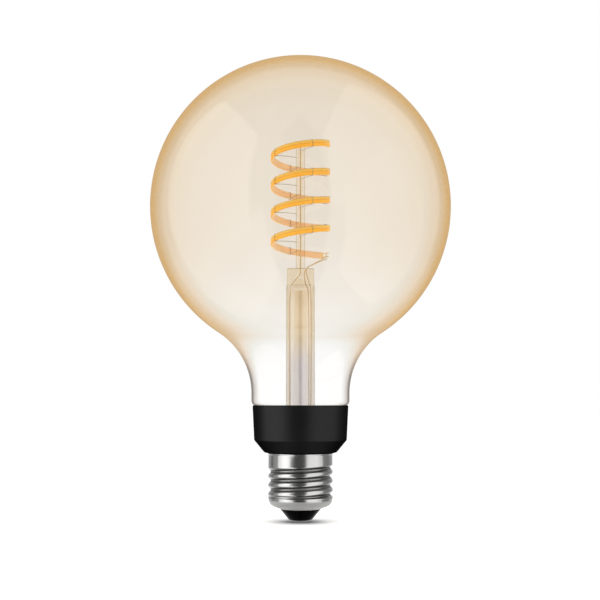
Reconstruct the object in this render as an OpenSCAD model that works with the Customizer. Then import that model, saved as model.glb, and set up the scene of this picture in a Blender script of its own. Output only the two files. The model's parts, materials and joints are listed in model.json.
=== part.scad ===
// Globe filament lamp with a radio-controlled driver in its cap.
// Millimetres, +Z up. The origin is the lowest point of the centre contact, on the lamp's axis.
// The front is -Y, and +X is to the right.

/* [Globe] */
// Height from the centre contact to the top of the globe
overall_h = 192.3; // [190:0.1:196]
// Outer diameter of the globe
globe_d = 125; // [123:0.5:126]
// Thickness of the blown glass
glass_wall = 1; // [0.8:0.1:1.2]
// Outer radius of the glass neck
neck_r = 20.2; // [20:0.1:20.6]
// Radius of the hollow curve from globe to neck
shoulder_r = 30; // [28:0.5:32]
// Radius of the bead where the neck turns in at the collar
bead_r = 2.6; // [2.4:0.1:2.8]
// Height of the bead's centre
bead_z = 49.4; // [49:0.1:50]
// Outer radius of the neck's end, which sits inside the collar
spigot_r = 17.9; // [17.6:0.1:18]
// Height of the neck's lower end
spigot_z = 41; // [40.5:0.1:41.5]

/* [Stem] */
// Outer radius of the glass stem tube
stem_r = 5.95; // [5.9:0.05:6.1]
// Thickness of the stem tube
stem_wall = 1; // [0.9:0.05:1.1]
// Height where the tube ends and the flat press begins
press_z = 96.5; // [96:0.1:98]
// Height of the press
press_h = 7.6; // [7.4:0.1:8]
// Width of the press, side to side
press_w = 11.2; // [11:0.1:11.4]
// Thickness of the press, front to back
press_t = 5; // [4.8:0.1:5.4]
// Radius of the flare at the stem's foot
flare_r = 5; // [4.5:0.1:5]
// Outer radius of the exhaust tube inside the stem
exhaust_r = 2.9; // [2.7:0.1:2.9]
// Height of the exhaust tube's sealed tip
exhaust_tip_z = 35.6; // [35.2:0.1:36.5]
// Radius of the glass post that carries the filament
post_r = 1.94; // [1.8:0.02:2]
// Height of the post's top
post_top = 156.6; // [156:0.1:157]

/* [Filament] */
// Outer radius of the filament coil
coil_r = 12.5; // [12.2:0.05:12.7]
// Height gained in one turn of the coil
coil_pitch = 11.95; // [11.5:0.05:12.2]
// Height of the strip's centre line at the right-hand side of the top turn
coil_top = 157; // [156.5:0.1:157.5]
// Angle where the strip starts, behind the right-hand side
coil_start = -10; // [-20:10:0]
// Angle where the strip ends
coil_end = 1400; // [1390:10:1410]
// Height of the strip
strip_h = 2.8; // [2.5:0.1:3]
// Thickness of the flexible strip itself
strip_t = 0.25; // [0.2:0.05:0.3]
// Thickness of the phosphor over the chips
phosphor_t = 0.65; // [0.5:0.05:0.7]
// Thickness of the coating on the back of the strip
back_t = 0.5; // [0.3:0.05:0.5]
// Radius of the lead wires
lead_r = 0.3; // [0.25:0.01:0.32]
// Radius of the wire hooks that hold the strip
hook_r = 0.2; // [0.15:0.01:0.25]

/* [Collar] */
// Outer radius at the collar's top
collar_top_r = 19.7; // [19.6:0.05:19.9]
// Outer radius where the chamfer starts
collar_low_r = 19.05; // [19:0.05:19.3]
// Height of the collar's top
collar_top_z = 47.3; // [47:0.1:47.6]
// Height where the chamfer starts
chamfer_z = 33.2; // [33:0.1:33.6]
// Outer radius at the foot of the chamfer
chamfer_r = 15.1; // [15:0.05:15.3]
// Height of the foot of the chamfer
chamfer_foot_z = 28.4; // [28.3:0.05:28.5]

/* [Screw cap] */
// Crest radius of the Edison thread
thread_r = 13.2; // [13.05:0.01:13.22]
// Depth of the thread
thread_depth = 1.05; // [0.9:0.05:1.1]
// Pitch of the thread, seven turns to the inch
thread_pitch = 3.629; // [3.6:0.001:3.65]
// Height of the lowest crest on the right-hand side
thread_crest_z = 9.45; // [9.4:0.05:9.6]
// Thickness of the formed sheet
sheet_t = 0.4; // [0.35:0.01:0.42]
// Radius of the plain skirt above the thread
skirt_r = 13.15; // [13:0.01:13.18]
// Height of the shell's top edge
shell_top_z = 27.9; // [27.7:0.05:27.9]
// Height where the plain skirt begins
skirt_z = 23.3; // [23.2:0.1:23.5]
// Radius of the shell's lower wall, under the thread
cup_r = 13.1; // [13:0.01:13.12]
// Radius of the rounded lower edge of the shell
cup_round = 3.4; // [3.2:0.1:3.5]
// Largest radius of the insulator's cone
insulator_r = 8; // [7.9:0.1:8.1]
// Height of the top of the insulator's cone
insulator_top = 4.6; // [4.5:0.1:4.6]
// Radius of the centre contact
contact_r = 4.3; // [4.2:0.05:4.5]
// Height of the domed centre contact
contact_h = 0.9; // [0.8:0.05:1]

/* [Driver] */
// Radius of the round driver board
board_r = 17.6; // [17.4:0.1:17.7]
// Height of the driver board's underside
board_z = 33; // [33:0.1:33.2]
// Thickness of both circuit boards
board_t = 1.2; // [1:0.1:1.4]
// Width of the upright control board
control_w = 18.8; // [18:0.1:19]
// Height of the control board's lower edge
control_z = 12; // [11.5:0.5:14]
// Front face of the control board
control_y = 2; // [2:0.1:2.4]
// Radius of the bulk capacitor
capacitor_r = 4; // [3.8:0.1:4]
// Height of the bulk capacitor's can
capacitor_h = 13; // [12:0.5:14]
// Radius of the insulated wires to the cap
wire_r = 0.55; // [0.5:0.05:0.6]

/* [Hidden] */
$fn = 96;

gap = 0.05;                 // clearance between pieces that touch
globe_r = globe_d / 2;
globe_z = overall_h - globe_r;
// the hollow curve's centre, tangent to the globe and to the neck
shoulder_x = neck_r + shoulder_r;
shoulder_z = globe_z - sqrt(pow(globe_r + shoulder_r, 2) - pow(shoulder_x, 2));
bead_x = neck_r - bead_r;
flare_x = stem_r + flare_r;
flare_z = spigot_z + 1 + flare_r;
press_top = press_z + press_h;
plug_h = 1.6;               // solid glass between the tube and the press
exhaust_wall = 0.6;
stem_bore = stem_r - stem_wall;

// the layers of the strip, from the inside outwards
back_r = coil_r - phosphor_t - strip_t - back_t;
strip_in = back_r + back_t;
strip_out = strip_in + strip_t;
ring_step = 10;             // degrees between the rings of a strip
track_gap = 0.12;           // half the gap between the two phosphor tracks
chip = [1.1, 0.5, 0.1];     // length along the strip, height, thickness
phosphor_in = strip_out + chip[2] + 0.02;
chip_every = 3;             // a chip on every third flat of the strip
prong_l = 4.6;              // length of the two tabs at the lower end
tab_end = 16;               // degrees from the strip's end to where the leads are welded
weld_r = strip_in + 0.4;
weld_drop = 0.6;

lead_x = 4.4;               // side leads, from the axis
cool_foot = [3.5, 2.3];     // where the third lead runs down the stem
board_top = board_z + board_t;
lead_entry = 2.8;           // where the lower leads enter the press

collar_wall = 1.3;
collar_bore = collar_top_r - collar_wall;
mouth_r = spigot_r + 0.1;
ledge_z = board_z;
nose_r = skirt_r - sheet_t - gap;
nose_z = skirt_z + 0.2;
nose_bore = nose_r - 1.1;
edge_r = 0.3;               // round on the collar's top edge
seat_h = 1.1;               // depth of the cone that the bead sits in
seat_r = bead_x + sqrt(pow(bead_r, 2) - pow(bead_z - collar_top_z, 2)) + 0.15;

slope = 26;                 // degrees, the cone under the shell's rounded edge
cup_x = cup_r - cup_round;
cup_z = 9.5;                // height where the lower wall becomes straight
cup_top = cup_z + 0.2;
cone_x = cup_x + cup_round * sin(slope);
cone_z = cup_z - cup_round * cos(slope);
insulator_neck = insulator_r - 0.6;
rivet_r = 1.2;

// Position on the coil at a turning angle, which runs clockwise seen from above
function coil_z(t) = coil_top - coil_pitch * t / 360;
function coil_point(t, r, dz = 0) = [r * cos(t), -r * sin(t), coil_z(t) + dz];

// 0 below a, 1 above b, smooth between them
function ease(x, a, b) =
    let (u = max(0, min(1, (x - a) / (b - a)))) u * u * (3 - 2 * u);

// Joins rings of points into one solid, with flat ends or closed on itself
module skin(rings, closed = false) {
    n = len(rings[0]);
    m = len(rings);
    spans = closed ? m : m - 1;
    points = [for (ring = rings) each ring];
    sides = [
        for (i = [0 : spans - 1], j = [0 : n - 1])
            let (a = i * n + j, b = i * n + (j + 1) % n,
                 c = ((i + 1) % m) * n + (j + 1) % n, d = ((i + 1) % m) * n + j)
            each [[a, d, c], [a, c, b]]
    ];
    ends = closed ? [] : [
        [for (j = [0 : n - 1]) j],
        [for (j = [n - 1 : -1 : 0]) (m - 1) * n + j]
    ];
    polyhedron(points = points, faces = concat(sides, ends));
}

// A band that follows the coil; section lists [radius, height] points anticlockwise
module coil_band(section) {
    skin([
        for (t = [coil_start : ring_step : coil_end])
            [for (p = section) coil_point(t, p[0], p[1])]
    ]);
}

// Straight round bar between two points
module bar(a, b, r) {
    v = b - a;
    translate(a)
        rotate([0, acos(v[2] / norm(v)), atan2(v[1], v[0])])
            cylinder(h = norm(v), r = r, $fn = 24);
}

// Chain of straight bores through a list of points
module bores(path, r) {
    for (i = [0 : len(path) - 2])
        bar(path[i], path[i + 1], r);
    for (i = [1 : 1 : len(path) - 2])
        translate(path[i]) sphere(r = 1.1 * r, $fn = 24);
}

// Ring of points round a line at p, square to its direction d
function wire_ring(p, d, r, sides = 8) =
    let (side = cross([0.31, 0.88, 0.36], d), u = side / norm(side), v = cross(d, u))
    [for (i = [0 : sides - 1]) let (a = 360 * i / sides) p + r * (cos(a) * u + sin(a) * v)];

// Bent wire through a list of points, with a short turn at each corner
module wire(path, r) {
    turn = 1.6 * r;
    last = len(path) - 2;
    skin([
        for (i = [0 : last])
            let (v = path[i + 1] - path[i], d = v / norm(v))
            each [
                wire_ring(path[i] + (i > 0 ? turn : 0) * d, d, r),
                wire_ring(path[i + 1] - (i < last ? turn : 0) * d, d, r)
            ]
    ]);
}

// Box standing on a centre point
module block(size, at) {
    translate([at[0] - size[0] / 2, at[1] - size[1] / 2, at[2]]) cube(size);
}

// ---- Glass ----

// Half outline of the bulb, drawn smaller by inset for its inside
module bulb_outline(inset) {
    intersection() {
        translate([0, spigot_z - 1]) square([globe_r + 1, overall_h]);
        union() {
            translate([0, globe_z]) circle(r = globe_r - inset);
            difference() {
                polygon([[0, shoulder_z], [shoulder_x, shoulder_z], [0, globe_z]]);
                translate([shoulder_x, shoulder_z]) circle(r = shoulder_r + inset);
            }
            translate([0, bead_z]) square([neck_r - inset, shoulder_z - bead_z + 0.5]);
            translate([bead_x, bead_z]) circle(r = bead_r - inset);
            translate([0, spigot_z - inset])
                square([spigot_r - inset, bead_z - spigot_z]);
        }
    }
}

module glass_globe() {
    color([0.93, 0.80, 0.58, 0.35])
        rotate_extrude()
            intersection() {
                translate([0, spigot_z]) square([globe_r + 1, overall_h]);
                difference() {
                    bulb_outline(0);
                    bulb_outline(glass_wall);
                }
            }
}

// Paths of the three leads, from the filament down to the driver board
function common_path() = [
    coil_point(coil_start, back_r - gap),
    [3, 0.5, coil_top + 1.2],
    [0, 0, coil_top + 0.6],
    [0, 0, press_top - 2.4],
    [-lead_x, 0, press_z - 1],
    [-lead_x, 0, board_top]
];

function warm_path() = [
    coil_point(coil_end + tab_end, weld_r, -strip_h / 4 - weld_drop),
    [lead_entry, -0.9, press_top + 0.4],
    [lead_entry, -0.9, press_top - 1.6],
    [lead_x, 0, press_z - 1],
    [lead_x, 0, board_top]
];

function cool_path() = [
    coil_point(coil_end + tab_end, weld_r, strip_h / 4 - weld_drop),
    [lead_entry, 0.9, press_top + 1],
    [lead_entry, 0.9, press_top - 1.6],
    [cool_foot[0], cool_foot[1], press_z - 2],
    [cool_foot[0], cool_foot[1], board_top]
];

module stem_tube() {
    color([0.93, 0.88, 0.78, 0.5])
        difference() {
            union() {
                // tube, flare and the foot that is sealed to the neck
                rotate_extrude()
                    union() {
                        translate([stem_bore, flare_z])
                            square([stem_wall, press_z - flare_z]);
                        intersection() {
                            translate([flare_x - flare_r - stem_wall, flare_z - flare_r - stem_wall])
                                square([flare_r + stem_wall, flare_r + stem_wall]);
                            translate([flare_x, flare_z])
                                difference() {
                                    circle(r = flare_r + stem_wall);
                                    circle(r = flare_r);
                                }
                        }
                        translate([flare_x, spigot_z + 1 - stem_wall])
                            square([spigot_r - flare_x, stem_wall]);
                    }
                translate([0, 0, press_z - plug_h])
                    cylinder(h = plug_h, r = stem_r);
                intersection() {
                    translate([0, 0, press_z - plug_h])
                        cylinder(h = press_h + plug_h, r = press_w / 2);
                    block([press_w, press_t, press_h + plug_h], [0, 0, press_z - plug_h]);
                }
            }
            // the way out for the air, through the side of the press
            translate([0, 0, press_z - plug_h - 1]) cylinder(h = plug_h + 2.6, r = 0.8, $fn = 32);
            translate([0, 0, press_z + 0.9])
                rotate([90, 0, 0]) cylinder(h = press_t, r = 0.7, $fn = 32);
            bores(common_path(), lead_r + gap);
            bores(warm_path(), lead_r + gap);
            bores(cool_path(), lead_r + gap);
        }
}

module exhaust_tube() {
    top = press_z - plug_h;
    color([0.80, 0.80, 0.80, 0.5])
        difference() {
            union() {
                translate([0, 0, exhaust_tip_z + exhaust_r])
                    cylinder(h = top - exhaust_tip_z - exhaust_r, r = exhaust_r);
                translate([0, 0, exhaust_tip_z + exhaust_r]) sphere(r = exhaust_r);
            }
            translate([0, 0, exhaust_tip_z + exhaust_r])
                cylinder(h = top, r = exhaust_r - exhaust_wall);
        }
}

module centre_post() {
    color([0.90, 0.86, 0.78, 0.5])
        difference() {
            translate([0, 0, press_top]) cylinder(h = post_top - press_top, r = post_r);
            translate([0, 0, press_top - 1])
                cylinder(h = post_top, r = lead_r + gap, $fn = 32);
        }
}

// ---- Filament ----

module filament_strip() {
    color([0.72, 0.60, 0.40])
        coil_band([
            [strip_in, -strip_h / 2], [strip_out, -strip_h / 2],
            [strip_out, strip_h / 2], [strip_in, strip_h / 2]
        ]);
}

// One phosphor track, bonded over its chips; low and high are heights on the strip
module phosphor_track(low, high) {
    coil_band([
        [phosphor_in, low], [coil_r - 0.1, low], [coil_r, low + 0.15],
        [coil_r, high - 0.15], [coil_r - 0.1, high], [phosphor_in, high]
    ]);
}

module warm_phosphor_track() {
    color([0.99, 0.65, 0.19]) phosphor_track(-strip_h / 2, -track_gap);
}

module cool_phosphor_track() {
    color([0.97, 0.75, 0.38]) phosphor_track(track_gap, strip_h / 2);
}

module filament_back_coat() {
    color([0.91, 0.71, 0.47])
        coil_band([
            [back_r, -strip_h / 2], [strip_in, -strip_h / 2],
            [strip_in, strip_h / 2], [back_r, strip_h / 2]
        ]);
}

// A row of light-emitting chips, one on every few flats of the strip
module led_chips(dz) {
    climb = atan(coil_pitch / (2 * PI * strip_out));
    flat_r = strip_out * cos(ring_step / 2);
    for (t = [coil_start + ring_step / 2 : chip_every * ring_step : coil_end - ring_step])
        translate([0, 0, coil_z(t) + dz])
            rotate([0, 0, -t])
                translate([flat_r, 0, 0])
                    rotate([climb, 0, 0])
                        translate([0, -chip[0] / 2, -chip[1] / 2])
                            cube([chip[2], chip[0], chip[1]]);
}

module warm_led_chips() {
    color([0.85, 0.85, 0.60]) led_chips(-strip_h / 4);
}

module cool_led_chips() {
    color([0.85, 0.85, 0.80]) led_chips(strip_h / 4);
}

// Flat metal tab beyond the end of the strip at a turning angle; way is -1 at the start
module end_tab(t, way, dz, h, length = 1.6) {
    translate([0, 0, coil_z(t) + dz])
        rotate([0, 0, -t])
            translate([strip_in + gap, way > 0 ? -length : 0, -h / 2])
                cube([strip_t - 2 * gap, length, h]);
}

module filament_top_tab() {
    color("silver") end_tab(coil_start, -1, 0, 1.2);
}

module filament_bottom_tabs() {
    color("silver")
        for (side = [-1, 1])
            end_tab(coil_end, 1, side * strip_h / 4, 0.7, prong_l);
}

// Wire hooks from the post to the strip, four to a turn
module support_hooks() {
    hook_angles = [66, 148, 247, 335];
    color([0.55, 0.48, 0.38])
        for (turn = [0 : 3], a = hook_angles)
            if (360 * turn + a < coil_end - 30)
                let (t = 360 * turn + a)
                    bar(coil_point(t, post_r + 0.02), coil_point(t, back_r - 0.06), hook_r);
}

module common_lead() {
    color([0.70, 0.55, 0.35]) wire(common_path(), lead_r);
}

module warm_lead() {
    color([0.70, 0.55, 0.35]) wire(warm_path(), lead_r);
}

module cool_lead() {
    color([0.70, 0.55, 0.35]) wire(cool_path(), lead_r);
}

// ---- Collar ----

module neck_cement() {
    color([0.85, 0.83, 0.78])
        translate([0, 0, spigot_z + 0.6])
            difference() {
                cylinder(h = 4, r = collar_bore);
                translate([0, 0, -1]) cylinder(h = 6, r = spigot_r);
            }
}

module collar_housing() {
    color([0.11, 0.11, 0.11])
        rotate_extrude()
            difference() {
                union() {
                    polygon([
                        [0, nose_z], [nose_r, nose_z], [nose_r, shell_top_z + gap],
                        [13.9, shell_top_z + gap], [chamfer_r, chamfer_foot_z],
                        [collar_low_r, chamfer_z], [collar_top_r, collar_top_z - edge_r],
                        [collar_top_r - edge_r, collar_top_z], [0, collar_top_z]
                    ]);
                    translate([collar_top_r - edge_r, collar_top_z - edge_r]) circle(r = edge_r);
                }
                translate([-1, nose_z - 1]) square([1 + nose_bore, 10]);
                polygon([
                    [-1, chamfer_foot_z + 1.4], [chamfer_r - 1.4, chamfer_foot_z + 1.4],
                    [board_r - 0.7, ledge_z], [board_r + 0.1, ledge_z], [board_r + 0.1, ledge_z + 3],
                    [collar_bore, ledge_z + 3], [collar_bore, collar_top_z - 1], [-1, collar_top_z - 1]
                ]);
                translate([-1, collar_top_z - 2]) square([1 + mouth_r, 4]);
                polygon([
                    [-1, collar_top_z - seat_h], [mouth_r, collar_top_z - seat_h],
                    [seat_r, collar_top_z], [seat_r, collar_top_z + 1], [-1, collar_top_z + 1]
                ]);
            }
}

// ---- Driver ----

module driver_board() {
    color([0.10, 0.35, 0.20]) translate([0, 0, board_z]) cylinder(h = board_t, r = board_r);
}

module bridge_rectifier() {
    color([0.15, 0.15, 0.15]) block([4.7, 6, 2.2], [-11, -5, board_top]);
}

module inductor_core() {
    color([0.25, 0.25, 0.27])
        translate([9.8, -7.4, board_top]) {
            cylinder(h = 1, r = 4);
            cylinder(h = 5.6, r = 2);
            translate([0, 0, 4.6]) cylinder(h = 1, r = 4);
        }
}

module inductor_winding() {
    color([0.72, 0.40, 0.20])
        translate([9.8, -7.4, board_top + 1 + gap])
            difference() {
                cylinder(h = 3.6 - 2 * gap, r = 3.6);
                translate([0, 0, -1]) cylinder(h = 6, r = 2 + gap);
            }
}

module film_capacitor() {
    color([0.80, 0.65, 0.15]) block([10, 4.2, 6], [0, 10.5, board_top]);
}

module fuse_resistor() {
    body_z = board_top + 1.6;
    color([0.35, 0.55, 0.45]) {
        translate([-12.4, 1.5, body_z]) rotate([-90, 0, 0]) cylinder(h = 7, r = 1.5);
        for (y = [0, 10])
            wire([[-12.4, 5 + (y - 5) * 0.6, body_z], [-12.4, y, body_z], [-12.4, y, board_top]], 0.3);
    }
}

module surge_varistor() {
    color([0.15, 0.25, 0.60])
        translate([-2.2, -12, board_top + 3]) rotate([90, 0, 0]) cylinder(h = 2.4, r = 3);
}

module driver_chip() {
    color([0.13, 0.13, 0.13]) block([4.9, 3.9, 1.5], [11, 2.6, board_top]);
}

module output_mosfets() {
    color([0.13, 0.13, 0.13]) {
        block([2.9, 1.6, 1.1], [-6.6, -8.6, board_top]);
        block([2.9, 1.6, 1.1], [9, 7.4, board_top]);
    }
}

module chip_resistors() {
    color([0.20, 0.20, 0.22]) {
        for (i = [0 : 3])
            block([1.6, 0.8, 0.5], [-7.6 + 0.4 * i, 2.2 + 1.5 * i, board_top]);
        for (i = [0 : 3])
            block([0.8, 1.6, 0.5], [-3.2 + 1.6 * i, -7.4, board_top]);
    }
}

module bulk_capacitor() {
    bottom = control_z + 2;
    color([0.75, 0.75, 0.77]) {
        translate([0, -6.4, bottom]) cylinder(h = capacitor_h, r = capacitor_r - 0.15);
        for (side = [-1, 1])
            bar([side * 1.25, -6.4, bottom + capacitor_h - 1], [side * 1.25, -6.4, board_z], 0.25);
    }
}

module capacitor_sleeve() {
    bottom = control_z + 2.4;
    color([0.10, 0.12, 0.30])
        translate([0, -6.4, bottom])
            difference() {
                cylinder(h = capacitor_h - 0.8, r = capacitor_r);
                translate([0, 0, -1]) cylinder(h = capacitor_h + 2, r = capacitor_r - 0.15);
            }
}

module board_header() {
    color([0.10, 0.10, 0.10]) block([15.2, 1.9, 2], [0, control_y - 0.95, board_z - 2]);
}

module control_board() {
    color([0.08, 0.28, 0.45])
        block([control_w, board_t, board_z - control_z], [0, control_y + board_t / 2, control_z]);
}

module radio_chip() {
    color([0.13, 0.13, 0.13]) block([5, 0.8, 5], [0, control_y + board_t + 0.4, 18.5]);
}

module radio_shield_can() {
    back = control_y + board_t;
    color([0.80, 0.80, 0.78])
        difference() {
            block([12, 1.8, 11], [0, back + 0.9, 15.5]);
            block([11.6, 1.6, 10.6], [0, back + 0.8, 15.7]);
        }
}

module chip_antenna() {
    color([0.90, 0.90, 0.88]) block([5.2, 1.1, 2], [4.4, control_y + board_t + 0.55, 29.2]);
}

module timing_crystal() {
    color([0.80, 0.80, 0.78]) block([3.2, 0.8, 2.5], [-5.2, control_y + board_t + 0.4, 28.4]);
}

// ---- Cap ----

module live_wire() {
    color([0.55, 0.10, 0.10])
        bar([0, -0.6, board_z], [0, -0.6, contact_h + 2.5], wire_r);
}

module neutral_wire() {
    color([0.15, 0.25, 0.55]) {
        wire([[11, 0, thread_crest_z + 3 * thread_pitch], [10.6, 0, skirt_z], [10.6, 0, board_z]],
             wire_r);
        bar([11, 0, thread_crest_z + 3 * thread_pitch],
            [12.7, 0, thread_crest_z + 3 * thread_pitch], 0.3);
    }
}

// Outer radius of the thread at a height and an angle, running out at both ends
function thread_surface(z, a) =
    let (full = ease(z, cup_top, cup_top + 1.4) * (1 - ease(z, skirt_z - 1.1, skirt_z)))
    thread_r - thread_depth * full
        * (0.5 - 0.5 * cos(360 * (z - thread_crest_z) / thread_pitch - a));

// The rolled thread: one closed band whose ends are buried in the plain walls
module thread_band() {
    seat = [cup_r - 0.3, cup_r - 0.1];      // the buried ends, inner and outer radius
    first = cup_top + 0.15;
    last = skirt_z - 0.15;
    rows = 27;
    heights = [for (i = [0 : rows]) first + (last - first) * i / rows];
    skin([
        for (a = [0 : 9 : 351])
            let (
                outside = concat(
                    [[seat[1], cup_top - 0.3], [seat[1], cup_top - 0.05]],
                    [for (z = heights) [thread_surface(z, a), z]],
                    [[seat[1], skirt_z + 0.05], [seat[1], skirt_z + 0.3]]),
                inside = concat(
                    [[seat[0], cup_top - 0.3], [seat[0], cup_top - 0.05]],
                    [for (z = heights) [thread_surface(z, a) - sheet_t, z]],
                    [[seat[0], skirt_z + 0.05], [seat[0], skirt_z + 0.3]]),
                n = len(outside) - 1,
                section = concat([for (i = [0 : n]) inside[i]], [for (i = [n : -1 : 0]) outside[i]])
            )
            [for (p = section) [p[0] * cos(a), p[0] * sin(a), p[1]]]
    ], closed = true);
}

// Half outline of the shell's lower end, drawn smaller by inset for its inside
module cup_outline(inset) {
    translate([cup_x, cup_z]) circle(r = cup_round - inset);
    translate([0, cup_z]) square([cup_r - inset, cup_top - cup_z + inset]);
    difference() {
        polygon([
            [0, cone_z - (cone_x * tan(slope))], [cone_x, cone_z],
            [cup_x, cup_z], [cup_x, cup_z + 0.1], [0, cup_z + 0.1]
        ]);
        if (inset > 0)
            polygon([
                [-1, 0], [-1, cone_z - (cone_x + 1) * tan(slope) + inset / cos(slope)],
                [cone_x + 1, cone_z + tan(slope) + inset / cos(slope)], [cone_x + 1, 0]
            ]);
    }
}

module cap_shell() {
    color([0.78, 0.78, 0.78]) {
        // plain skirt with its turned lip
        translate([0, 0, skirt_z])
            difference() {
                union() {
                    cylinder(h = shell_top_z - skirt_z, r = skirt_r);
                    translate([0, 0, shell_top_z - skirt_z - 0.4]) cylinder(h = 0.4, r = skirt_r + 0.2);
                }
                translate([0, 0, -1]) cylinder(h = shell_top_z, r = skirt_r - sheet_t);
            }
        thread_band();
        // rounded lower end, open in the middle for the insulator
        rotate_extrude()
            intersection() {
                translate([insulator_neck + gap, 0]) square([20, cup_top]);
                difference() {
                    cup_outline(0);
                    cup_outline(sheet_t);
                }
            }
    }
}

module cap_insulator() {
    flange_z = 6.7;
    color([0.08, 0.08, 0.08])
        difference() {
            union() {
                translate([0, 0, contact_h])
                    cylinder(h = insulator_top - contact_h, r1 = contact_r + 0.6, r2 = insulator_r);
                translate([0, 0, insulator_top - 0.1]) cylinder(h = 3, r = insulator_neck);
                translate([0, 0, flange_z]) cylinder(h = 1.4, r = 9.2);
            }
            translate([0, 0, -1]) cylinder(h = 12, r = rivet_r + gap, $fn = 32);
            translate([0, 0, contact_h + 4.4]) cylinder(h = 6, r = 2.4, $fn = 32);
        }
}

module centre_contact() {
    flat_r = 1.8;
    dome_r = (pow(contact_r - flat_r, 2) + pow(contact_h, 2)) / (2 * contact_h);
    color([0.35, 0.35, 0.36])
        union() {
            rotate_extrude()
                intersection() {
                    square([contact_r, contact_h]);
                    union() {
                        square([flat_r, contact_h]);
                        translate([flat_r, dome_r]) circle(r = dome_r);
                    }
                }
            translate([0, 0, contact_h]) cylinder(h = 2.5, r = rivet_r, $fn = 32);
        }
}

glass_globe();
stem_tube();
exhaust_tube();
centre_post();
filament_strip();
warm_phosphor_track();
cool_phosphor_track();
filament_back_coat();
warm_led_chips();
cool_led_chips();
filament_top_tab();
filament_bottom_tabs();
support_hooks();
common_lead();
warm_lead();
cool_lead();
neck_cement();
collar_housing();
driver_board();
bridge_rectifier();
inductor_core();
inductor_winding();
film_capacitor();
fuse_resistor();
surge_varistor();
driver_chip();
output_mosfets();
chip_resistors();
bulk_capacitor();
capacitor_sleeve();
board_header();
control_board();
radio_chip();
radio_shield_can();
chip_antenna();
timing_crystal();
live_wire();
neutral_wire();
cap_shell();
cap_insulator();
centre_contact();
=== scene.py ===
import json
import math

import bmesh
import bpy
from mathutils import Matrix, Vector


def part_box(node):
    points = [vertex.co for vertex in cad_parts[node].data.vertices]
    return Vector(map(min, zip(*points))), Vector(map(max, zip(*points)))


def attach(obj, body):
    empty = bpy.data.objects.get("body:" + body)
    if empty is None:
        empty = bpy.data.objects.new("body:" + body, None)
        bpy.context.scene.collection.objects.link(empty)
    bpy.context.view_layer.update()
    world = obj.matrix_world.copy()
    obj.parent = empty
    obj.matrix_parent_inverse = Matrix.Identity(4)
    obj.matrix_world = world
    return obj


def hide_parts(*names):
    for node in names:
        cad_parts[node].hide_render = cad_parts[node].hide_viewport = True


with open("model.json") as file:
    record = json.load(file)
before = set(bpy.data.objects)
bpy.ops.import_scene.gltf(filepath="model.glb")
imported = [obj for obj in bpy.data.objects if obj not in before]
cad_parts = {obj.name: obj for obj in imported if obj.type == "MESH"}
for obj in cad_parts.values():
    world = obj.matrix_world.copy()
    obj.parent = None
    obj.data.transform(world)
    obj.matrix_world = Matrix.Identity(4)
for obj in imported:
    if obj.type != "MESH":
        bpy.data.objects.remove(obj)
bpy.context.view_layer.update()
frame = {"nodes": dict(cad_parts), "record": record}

MM = 0.001
ROOT = "root"

# ---------------------------------------------------------------------------
# Places and sizes, in millimetres. Boxes come from the frame; the rest are the
# lamp's own radii.
# ---------------------------------------------------------------------------


def box_mm(node):
    low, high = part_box(node)
    return Vector(low) / MM, Vector(high) / MM


GLOBE_LOW, GLOBE_HIGH = box_mm("glass_globe")
GLOBE_R = GLOBE_HIGH.x
GLOBE_Z = GLOBE_HIGH.z - GLOBE_R
SPIGOT_Z = GLOBE_LOW.z
SPIGOT_R = 17.9
WALL = 1.0
NECK_R = 20.2
SHOULDER_R = 30.0
BEAD_R = 2.6
BEAD_Z = 49.4
SHOULDER_X = NECK_R + SHOULDER_R
SHOULDER_Z = GLOBE_Z - math.sqrt((GLOBE_R + SHOULDER_R) ** 2 - SHOULDER_X ** 2)
BEAD_X = NECK_R - BEAD_R

STEM_R = 5.95
STEM_BORE = 4.95
PRESS_TOP = box_mm("stem_tube")[1].z
PRESS_Z = PRESS_TOP - 7.6
PRESS_HALF_W = 5.6
PRESS_HALF_T = 2.5
FLARE_R = 5.0

EXHAUST_LOW, EXHAUST_HIGH = box_mm("exhaust_tube")
EXHAUST_R = EXHAUST_HIGH.x
EXHAUST_WALL = 0.6
POST_LOW, POST_HIGH = box_mm("centre_post")
POST_R = 1.94
POST_BORE = 0.35
HOOK_R = 0.11
LEAD_R = 0.2
# angles, in degrees, at which a hook holds each turn of the coil
HOOK_ANGLES = (66.0, 148.0, 247.0, 335.0)

COIL_R = 12.5
COIL_PITCH = 11.95
COIL_TOP = 157.0
COIL_START = -10.0
COIL_END = 1402.0
STRIP_H = 2.8
BACK_IN = 11.1
STRIP_IN = 11.6
STRIP_OUT = 11.85
PRONG_L = 4.7

COLLAR_LOW, COLLAR_HIGH = box_mm("collar_housing")
COLLAR_TOP_R = COLLAR_HIGH.x
COLLAR_TOP = COLLAR_HIGH.z
COLLAR_LOW_R = 19.05
CHAMFER_Z = 33.2
CHAMFER_R = 15.1
CHAMFER_FOOT = 28.4

SHELL_TOP = box_mm("cap_shell")[1].z
THREAD_R = 13.2
THREAD_DEPTH = 1.05
THREAD_PITCH = 3.629
THREAD_CREST = 9.45
SKIRT_R = 13.15
SKIRT_Z = 23.3
CUP_R = 13.1
CUP_ROUND = 3.4
CUP_Z = 9.5
CUP_SLOPE = 21.0
SHEET = 0.4

SHELL_HOLE = 7.45
INSULATOR_FOOT = box_mm("cap_insulator")[0].z
INSULATOR_RIM_R = 8.3
INSULATOR_RIM_Z = 5.28
CONTACT_HIGH = box_mm("centre_contact")[1]
CONTACT_R = CONTACT_HIGH.x
CONTACT_H = 0.9

# points closer than this are one point, in metres: along seams, and where a shape ends in a tip
SEAM_MERGE = 5e-8
TIP_MERGE = 2e-5


# ---------------------------------------------------------------------------
# Mesh helpers
# ---------------------------------------------------------------------------


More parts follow.
